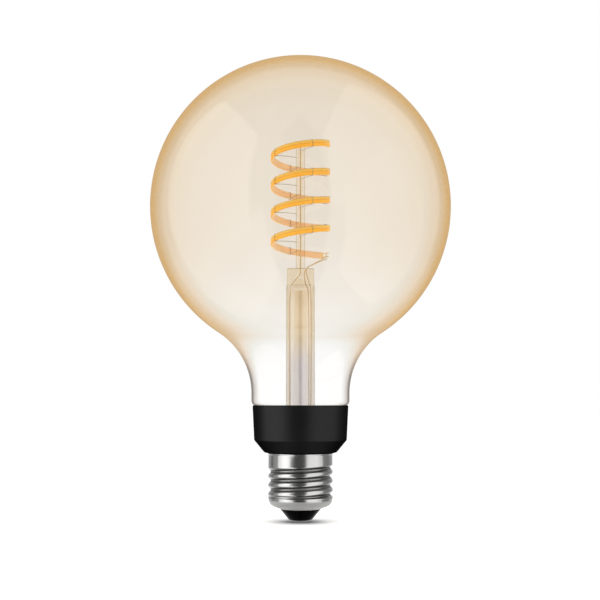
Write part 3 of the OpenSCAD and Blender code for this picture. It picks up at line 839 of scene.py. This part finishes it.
def coil_mesh(name, section, start=COIL_START, end=COIL_END, step=4.0):
    """Sweeps a section of (radius, height) points along the coil."""
    count = int(round((end - start) / step))
    bm = bmesh.new()
    add_rings(bm, [
        [coil_point(start + (end - start) * i / count, r, dz) for r, dz in section]
        for i in range(count + 1)
    ], caps=True)
    return finish_mesh(bm, name, 50.0)


def track_section(low, high):
    """A low dome of silicone: flat on the strip, round outside."""
    middle, half = (low + high) / 2, (high - low) / 2
    gap = 0.02
    rise = COIL_R - STRIP_OUT - gap
    fullness = 0.42
    outside = []
    for i in range(11):
        a = -math.pi / 2 + math.pi * i / 10
        outside.append((
            STRIP_OUT + gap + rise * max(0.0, math.cos(a)) ** fullness,
            middle + half * math.sin(a),
        ))
    return outside


def make_filament():
    half = STRIP_H / 2
    edge = 0.06
    strip = [(STRIP_IN, -half), (STRIP_OUT, -half), (STRIP_OUT, half), (STRIP_IN, half)]
    piece("filament_strip_foil", coil_mesh("filament_strip_foil", strip),
          MATERIALS["strip_metal"], ["filament_strip"])
    piece("cool_phosphor_band", coil_mesh("cool_phosphor_band", track_section(0.01, half)),
          MATERIALS["cool_phosphor"], ["cool_phosphor_track", "cool_led_chips"])
    piece("warm_phosphor_band", coil_mesh("warm_phosphor_band", track_section(-half, -0.01)),
          MATERIALS["warm_phosphor"], ["warm_phosphor_track", "warm_led_chips"])
    back = [(STRIP_IN, half), (BACK_IN + 0.22, half - edge), (BACK_IN + 0.06, half - 0.22),
            (BACK_IN, half - 0.5), (BACK_IN, -half + 0.5), (BACK_IN + 0.06, -half + 0.22),
            (BACK_IN + 0.22, -half + edge), (STRIP_IN, -half)]
    piece("filament_back_band", coil_mesh("filament_back_band", back),
          MATERIALS["back_coat"], ["filament_back_coat"])


def tab_section(half):
    """A metal end, a little thinner than the strip it comes out of."""
    low, high = STRIP_IN + 0.05, STRIP_OUT - 0.05
    return [(low, -half), (high, -half), (high, half), (low, half)]


def make_tabs():
    bm = bmesh.new()
    for side in (-1, 1):
        rings = []
        onward = coil_point(COIL_END + 90.0, 1.0) - coil_point(COIL_END + 90.0, 0.0)
        for i in range(7):
            narrow = 1.0 - 0.35 * ease(i, 4, 6)
            rings.append([
                coil_point(COIL_END, r, side * STRIP_H / 4 * 1.1 + dz * narrow)
                + onward * PRONG_L * i / 6
                for r, dz in tab_section(0.34)])
        add_rings(bm, rings, caps=True)
    mesh = finish_mesh(bm, "filament_bottom_tab_pair")
    piece("filament_bottom_tab_pair", mesh, MATERIALS["tab_metal"],
          ["filament_bottom_tabs"])
    bm = bmesh.new()
    add_rings(bm, [[coil_point(COIL_START - 8.0 * i / 6, r, dz) for r, dz in tab_section(0.6)]
                   for i in range(7)], caps=True)
    mesh = finish_mesh(bm, "filament_top_tab_plate")
    piece("filament_top_tab_plate", mesh, MATERIALS["tab_metal"],
          ["filament_top_tab"])


def hook_path(angle):
    """From the post, under the strip, up its outside, over its top edge and down its inside."""
    half = STRIP_H / 2
    return smooth_path([
        coil_point(angle, POST_R - 0.1, -1.1),
        coil_point(angle, 6.0, -1.15),
        coil_point(angle, 9.6, -half + 0.1),
        coil_point(angle, BACK_IN + 0.1, -half - 0.12),
        coil_point(angle, COIL_R - 0.25, -half - 0.10),
        coil_point(angle, COIL_R - 0.02, -half + 0.35),
        coil_point(angle, COIL_R - 0.02, 0.0),
        coil_point(angle, COIL_R - 0.03, half - 0.3),
        coil_point(angle, COIL_R - 0.45, half + 0.12),
        coil_point(angle, BACK_IN + 0.15, half + 0.16),
        coil_point(angle, BACK_IN - 0.14, half - 0.4),
        coil_point(angle, BACK_IN - 0.16, -0.2),
        coil_point(angle, BACK_IN - 0.45, -half + 0.4),
    ], 4)


def make_hooks():
    angles = [360.0 * turn + a for turn in range(4) for a in HOOK_ANGLES]
    paths = [hook_path(a) for a in angles if a < COIL_END - 30.0]
    mesh = wire_mesh("support_hook_wires", paths, HOOK_R, 8)
    piece("support_hook_wires", mesh, MATERIALS["hook_metal"], ["support_hooks"])


def make_leads():
    board_top = box_mm("driver_board")[1].z
    common = smooth_path([
        coil_point(COIL_START - 7.0, STRIP_IN - 0.2, 0.2),
        coil_point(COIL_START - 4.0, 9.0, 0.9),
        (4.0, 0.8, COIL_TOP + 1.3),
        (1.2, 0.2, COIL_TOP + 1.1),
        (0.1, 0.0, COIL_TOP + 0.2),
        (0.0, 0.0, COIL_TOP - 2.0),
        (0.0, 0.0, 130.0),
        (0.0, 0.0, PRESS_TOP + 1.0),
        (-0.2, 0.0, PRESS_TOP - 2.4),
        (-3.4, 0.0, PRESS_Z + 1.2),
        (-4.3, 0.0, PRESS_Z - 2.0),
        (-4.4, 0.0, 80.0),
        (-4.35, 0.0, 60.0),
        (-4.3, 0.0, board_top),
    ])
    warm = smooth_path([
        coil_point(COIL_END + 19.0, STRIP_IN + 0.35, -STRIP_H / 4 - 0.3),
        coil_point(COIL_END + 15.0, STRIP_IN - 1.6, -STRIP_H / 4 - 1.3),
        (4.6, -0.3, PRESS_TOP + 1.3),
        (2.9, -0.9, PRESS_TOP + 0.4),
        (2.4, -0.9, PRESS_TOP - 1.6),
        (3.6, -0.4, PRESS_Z + 1.5),
        (4.3, 0.2, PRESS_Z - 2.0),
        (4.4, 0.2, 80.0),
        (4.3, 0.1, 60.0),
        (4.2, 0.0, board_top),
    ])
    cool = smooth_path([
        coil_point(COIL_END + 18.0, STRIP_IN + 0.1, STRIP_H / 4),
        coil_point(COIL_END + 14.0, STRIP_IN - 0.7, -STRIP_H / 4 - 0.2),
        (4.9, 1.2, PRESS_TOP + 1.8),
        (2.9, 0.9, PRESS_TOP + 0.5),
        (1.6, 0.8, PRESS_TOP - 2.0),
        (2.2, 1.4, PRESS_Z + 1.2),
        (3.2, 2.3, PRESS_Z - 2.0),
        (3.5, 2.3, 80.0),
        (3.5, 2.3, 60.0),
        (3.5, 2.3, board_top),
    ])
    for name, path in (("common_lead", common), ("warm_lead", warm), ("cool_lead", cool)):
        mesh = wire_mesh(name + "_wire", [path], LEAD_R)
        piece(name + "_wire", mesh, MATERIALS["lead_metal"], [name])


# ---------------------------------------------------------------------------
# Collar and cap
# ---------------------------------------------------------------------------


def make_collar():
    top_edge = 0.3
    low_edge = 0.6
    seat = BEAD_X + math.sqrt(BEAD_R ** 2 - (BEAD_Z - COLLAR_TOP) ** 2) + 0.12
    foot_z = SHELL_TOP + 0.05
    inner = COLLAR_TOP_R - 1.3
    mouth = SPIGOT_R + 0.1
    sleeve_r, sleeve_bore = 12.6, 11.5
    floor_r, floor_z = 13.7, 29.8
    step_r, step_z = 17.7, 36.0
    step_foot = (16.9, 33.0)
    profile = [(sleeve_r, COLLAR_LOW.z), (sleeve_r, foot_z - 0.02), (13.9, foot_z)]
    profile += [(14.6, foot_z + 0.16), (CHAMFER_R - 0.1, CHAMFER_FOOT - 0.1)]
    profile += [(CHAMFER_R, CHAMFER_FOOT + 0.05)]
    profile += [(COLLAR_LOW_R - 0.4, CHAMFER_Z - 0.5), (COLLAR_LOW_R - 0.12, CHAMFER_Z - 0.16)]
    profile += [(COLLAR_LOW_R, CHAMFER_Z + 0.15)]
    profile += [(COLLAR_LOW_R + 0.02, CHAMFER_Z + low_edge)]
    profile += [(COLLAR_TOP_R - 0.04, COLLAR_TOP - 1.5)]
    profile += arc(COLLAR_TOP_R - top_edge, COLLAR_TOP - top_edge, top_edge, 0.0, 90.0, 8)
    profile += [(seat, COLLAR_TOP), (mouth, COLLAR_TOP - 1.1), (mouth, COLLAR_TOP - 1.4)]
    profile += [(inner, COLLAR_TOP - 1.4), (inner, step_z), (step_r, step_z)]
    profile += [(step_r, step_foot[1]), step_foot]
    profile += [(floor_r, floor_z), (sleeve_bore, floor_z), (sleeve_bore, COLLAR_LOW.z)]
    mesh = lathe("collar_housing_moulded", profile, 160, 28.0)
    piece("collar_housing_moulded", mesh, MATERIALS["black_plastic"],
          ["collar_housing"])


def thread_radius(z, angle):
    """Outer radius of the rolled thread, running out at both ends."""
    full = ease(z, CUP_Z + 0.2, CUP_Z + 1.6) * (1.0 - ease(z, SKIRT_Z - 1.1, SKIRT_Z))
    wave = math.cos(2 * math.pi * (z - THREAD_CREST) / THREAD_PITCH - math.radians(angle))
    # crests are rounder and wider than roots
    crest_width = 1.6
    shape = (0.5 - 0.5 * wave) ** crest_width
    return THREAD_R - THREAD_DEPTH * full * shape


def make_shell():
    steps = 180
    cup_x = CUP_R - CUP_ROUND
    slope = math.radians(CUP_SLOPE)
    lip_r = SKIRT_R + 0.2

    def cup(inset):
        r = CUP_ROUND - inset
        points = arc(cup_x, CUP_Z, r, -(90.0 - CUP_SLOPE), 0.0, 12)
        start = points[0]
        run = start[0] - SHELL_HOLE
        return [(SHELL_HOLE, start[1] - run * math.tan(slope))] + points

    spans = 110
    foot = CUP_Z + 0.2
    heights = [foot + (SKIRT_Z - CUP_Z - 0.2) * i / spans for i in range(spans + 1)]

    def ring(a, inset):
        points = cup(inset)
        points += [(thread_radius(z, a) - inset, z) for z in heights]
        if inset == 0.0:
            points += [(SKIRT_R, SKIRT_Z + 0.6), (SKIRT_R, SHELL_TOP - 0.9)]
            points += [(SKIRT_R + 0.05, SHELL_TOP - 0.55), (lip_r - 0.03, SHELL_TOP - 0.35)]
            points += [(lip_r, SHELL_TOP - 0.2), (lip_r - 0.03, SHELL_TOP - 0.05)]
            points += [(lip_r - 0.12, SHELL_TOP)]
        else:
            points += [(SKIRT_R - inset, SKIRT_Z + 0.6), (SKIRT_R - inset, SHELL_TOP)]
            points = list(reversed(points))
        return points

    bm = bmesh.new()
    rings = []
    for i in range(steps):
        a = 360.0 * i / steps
        c, s = math.cos(math.radians(a)), math.sin(math.radians(a))
        rings.append([(r * c, r * s, z) for r, z in ring(a, 0.0) + ring(a, SHEET)])
    add_rings(bm, rings, closed_path=True)
    mesh = finish_mesh(bm, "cap_shell_rolled", 60.0)
    piece("cap_shell_rolled", mesh, MATERIALS["nickel_shell"], ["cap_shell"])


def make_insulator():
    foot = INSULATOR_FOOT
    foot_r = CONTACT_R + 0.6
    cone_r, cone_z = INSULATOR_RIM_R, INSULATOR_RIM_Z
    neck_r = SHELL_HOLE - 0.05
    flange_r, flange_z, top_z = 9.2, 6.7, 8.1
    bore_r, well_r, well_z = 1.25, 2.4, 5.3
    profile = [(bore_r, foot), (foot_r - 0.35, foot), (foot_r - 0.1, foot + 0.1)]
    profile += [(foot_r + 0.1, foot + 0.3)]
    profile += [(cone_r - 0.12, cone_z - 0.22), (cone_r, cone_z - 0.02), (cone_r - 0.1, cone_z)]
    profile += [(neck_r, cone_z), (neck_r, flange_z), (flange_r, flange_z), (flange_r, top_z)]
    profile += [(well_r, top_z), (well_r, well_z), (bore_r, well_z)]
    mesh = lathe("cap_insulator_moulded", profile, 128, 35.0)
    piece("cap_insulator_moulded", mesh, MATERIALS["black_vitrite"],
          ["cap_insulator"])


def make_contact():
    flat = 1.8
    rivet_r = 1.2
    dome = ((CONTACT_R - flat) ** 2 + CONTACT_H ** 2) / (2 * CONTACT_H)
    end = math.degrees(math.acos((dome - CONTACT_H) / dome))
    profile = [(0.0, 0.0), (flat, 0.0)]
    profile += arc(flat, dome, dome, -90.0, -90.0 + end, 14)[1:]
    profile += [(rivet_r, CONTACT_H), (rivet_r, CONTACT_HIGH.z), (0.0, CONTACT_HIGH.z)]
    mesh = lathe_with_tips("centre_contact_stamped", profile, 96, 35.0)
    piece("centre_contact_stamped", mesh, MATERIALS["contact_metal"],
          ["centre_contact"])


make_globe()
make_stem()
make_exhaust()
make_post()
make_filament()
make_tabs()
make_hooks()
make_leads()
make_collar()
make_shell()
make_insulator()
make_contact()


# ---------------------------------------------------------------------------
# Studio: floor, world, lights and camera
# ---------------------------------------------------------------------------

LEFT_LEVEL = 1.4
RIGHT_LEVEL = 1.0
FLOOR_LEVEL = 0.8
BACK_LEVEL = 0.75
ROOM_LEVEL = 0.14
SOFT_LEVEL = 0.5
SLOT_LEVEL = 0.065
SKYLIGHT = 1.85
CAMERA_PLACE = (-0.00019, -0.4554, 0.048)
CAMERA_TILT = 5.385
CAMERA_LENS = 66.0
# the paper under the lamp: reach of the painted contact shadow and of the painted bright ring, in
# metres
SHADOW_REACH = 0.02
PAINTED_LIGHT_REACH = (0.03, 0.14)
PAINTED_LIGHT_GAIN = (1.38, 1.03)


def make_floor():
    size = 30.0
    mesh = bpy.data.meshes.new("floor")
    mesh.from_pydata([(-size, -size, 0), (size, -size, 0), (size, size, 0), (-size, size, 0)],
                     [], [(0, 1, 2, 3)])
    floor = bpy.data.objects.new("floor", mesh)
    bpy.context.scene.collection.objects.link(floor)
    n = Nodes("floor_paper")
    shader = n.add("ShaderNodeBsdfDiffuse")
    paper = n.ramp(n.noise(3.0), [(0.3, (0.90, 0.90, 0.90)), (0.7, (0.92, 0.92, 0.92))])
    # painted light and shade: the paper is exposed to pure white by a painted bright ring near the
    # lamp, seen only by the camera, and a painted contact shadow makes it a little darker right
    # under the lamp
    away = n.add("ShaderNodeVectorMath", operation="LENGTH")
    n.link(n.object_place(), away.inputs[0])
    painted_contact_shadow = n.ramp(n.map_range(away.outputs["Value"], 0.0, SHADOW_REACH), [
        (0.00, (0.42,) * 3), (0.25, (0.62,) * 3), (0.45, (0.80,) * 3), (0.65, (0.94,) * 3),
        (0.85, (1.0,) * 3)])
    gain = n.map_range(away.outputs["Value"], *PAINTED_LIGHT_REACH, *PAINTED_LIGHT_GAIN, smooth=True)
    painted_floor_light = n.mix(n.add("ShaderNodeLightPath").outputs["Is Camera Ray"], (0.9,) * 3, gain)
    n.link(n.mix(1.0, n.mix(1.0, paper, painted_contact_shadow, "MULTIPLY"), painted_floor_light, "MULTIPLY"),
           shader.inputs["Color"])
    n.link(shader.outputs[0], n.out.inputs["Surface"])
    mesh.materials.append(n.material)
    floor.visible_glossy = False


def make_world():
    """White to the camera and through glass; a studio of panels to everything that reflects."""
    world = bpy.data.worlds.new("studio")
    bpy.context.scene.world = world
    world.use_nodes = True
    n = Nodes(tree=world.node_tree, output="ShaderNodeOutputWorld")
    split = n.add("ShaderNodeSeparateXYZ")
    n.link(n.add("ShaderNodeTexCoord").outputs["Generated"], split.inputs[0])
    x, y, z = (split.outputs[axis] for axis in "XYZ")
    aside = n.math("MAXIMUM", n.math("ABSOLUTE", x), 0.001)
    along, upward = n.math("DIVIDE", y, aside), n.math("DIVIDE", z, aside)

    def window(source, low, high, soft_low, soft_high):
        rise = n.map_range(source, low - soft_low, low + soft_low, smooth=True)
        fall = n.map_range(source, high - soft_high, high + soft_high, 1.0, 0.0, smooth=True)
        return n.math("MULTIPLY", rise, fall)

    def panel(side, level, ends, heights):
        """A flat softbox one unit to the side, seen from the lamp."""
        here = n.math("GREATER_THAN", n.math("MULTIPLY", x, side), 0.0)
        shape = n.math("MULTIPLY", window(along, *ends), window(upward, *heights))
        return n.math("MULTIPLY", n.math("MULTIPLY", here, shape), level)

    left = panel(-1.0, LEFT_LEVEL, (-1.33, 0.52, 0.15, 0.06), (-0.9, 1.5, 0.3, 0.08))
    right = panel(1.0, RIGHT_LEVEL, (-2.6, 0.84, 0.35, 0.06), (-2.2, 2.8, 0.3, 0.15))
    floor = n.map_range(z, -0.3, -0.05, FLOOR_LEVEL, 0.0, smooth=True)
    back = n.map_range(y, 0.35, 0.80, 0.0, BACK_LEVEL, smooth=True)
    room = n.math("ADD", n.math("ADD", floor, back), ROOM_LEVEL)
    # a dark slot round the camera, seen as the dark line down the middle of the cap
    beside_camera = n.map_range(n.math("ADD", aside, n.math("MULTIPLY", y, 0.49)), -0.03, 0.05,
                                smooth=True)
    room = n.math("ADD", n.math("MULTIPLY", room, beside_camera), SLOT_LEVEL)
    studio = n.math("MAXIMUM", room, n.math("MAXIMUM", left, right))

    path = n.add("ShaderNodeLightPath")
    direct = n.math("MAXIMUM", path.outputs["Is Camera Ray"], path.outputs["Is Transmission Ray"])
    inside = n.math("GREATER_THAN", path.outputs["Transmission Depth"], 0.5)
    studio = n.mix(path.outputs["Is Diffuse Ray"], studio, (SOFT_LEVEL,) * 3)
    studio = n.mix(inside, studio, (0.86, 0.80, 0.72))
    sky = n.add("ShaderNodeBackground")
    n.link(n.mix(direct, studio, (1.0, 1.0, 1.0)), sky.inputs["Color"])
    n.link(sky.outputs[0], n.out.inputs["Surface"])


def add_panel(name, azimuth, distance, height, width, tall, radiance, target_z, glossy=True):
    """A softbox at an angle from the front, seen from above, positive to the right."""
    light = bpy.data.lights.new(name, "AREA")
    light.shape = "RECTANGLE"
    light.size = width
    light.size_y = tall
    light.energy = radiance * math.pi * width * tall
    obj = bpy.data.objects.new(name, light)
    a = math.radians(azimuth)
    obj.location = (distance * math.sin(a), -distance * math.cos(a), height)
    aim = Vector((0.0, 0.0, target_z)) - obj.location
    obj.rotation_euler = aim.to_track_quat("-Z", "Y").to_euler()
    obj.visible_camera = False
    obj.visible_transmission = False
    obj.visible_glossy = glossy
    bpy.context.scene.collection.objects.link(obj)


def make_lights():
    add_panel("softbox_left", -60.0, 1.0, 0.45, 1.0, 1.2, 0.9, 0.12, glossy=False)
    add_panel("softbox_right", 62.0, 1.0, 0.45, 1.0, 1.2, 0.7, 0.12, glossy=False)
    add_skylight()


def add_skylight():
    """A broad, even light from above that keeps the floor white out to the horizon."""
    light = bpy.data.lights.new("skylight", "SUN")
    light.energy = SKYLIGHT
    light.angle = math.radians(110.0)
    obj = bpy.data.objects.new("skylight", light)
    obj.location = (0.0, 0.0, 2.0)
    obj.visible_glossy = False
    obj.visible_transmission = False
    bpy.context.scene.collection.objects.link(obj)


def make_camera():
    camera = bpy.data.cameras.new("camera")
    camera.sensor_width = 36.0
    camera.lens = CAMERA_LENS
    camera.clip_start = 0.01
    obj = bpy.data.objects.new("camera", camera)
    obj.location = CAMERA_PLACE
    obj.rotation_euler = (math.radians(90.0 + CAMERA_TILT), 0.0, 0.0)
    bpy.context.scene.collection.objects.link(obj)
    bpy.context.scene.camera = obj


make_floor()
make_world()
make_lights()
make_camera()
scene = bpy.context.scene
scene.view_settings.view_transform = "Standard"
# rays cross many glass walls in the stem
scene.cycles.transparent_max_bounces = 32
scene.cycles.max_bounces = 24
scene.cycles.transmission_bounces = 20
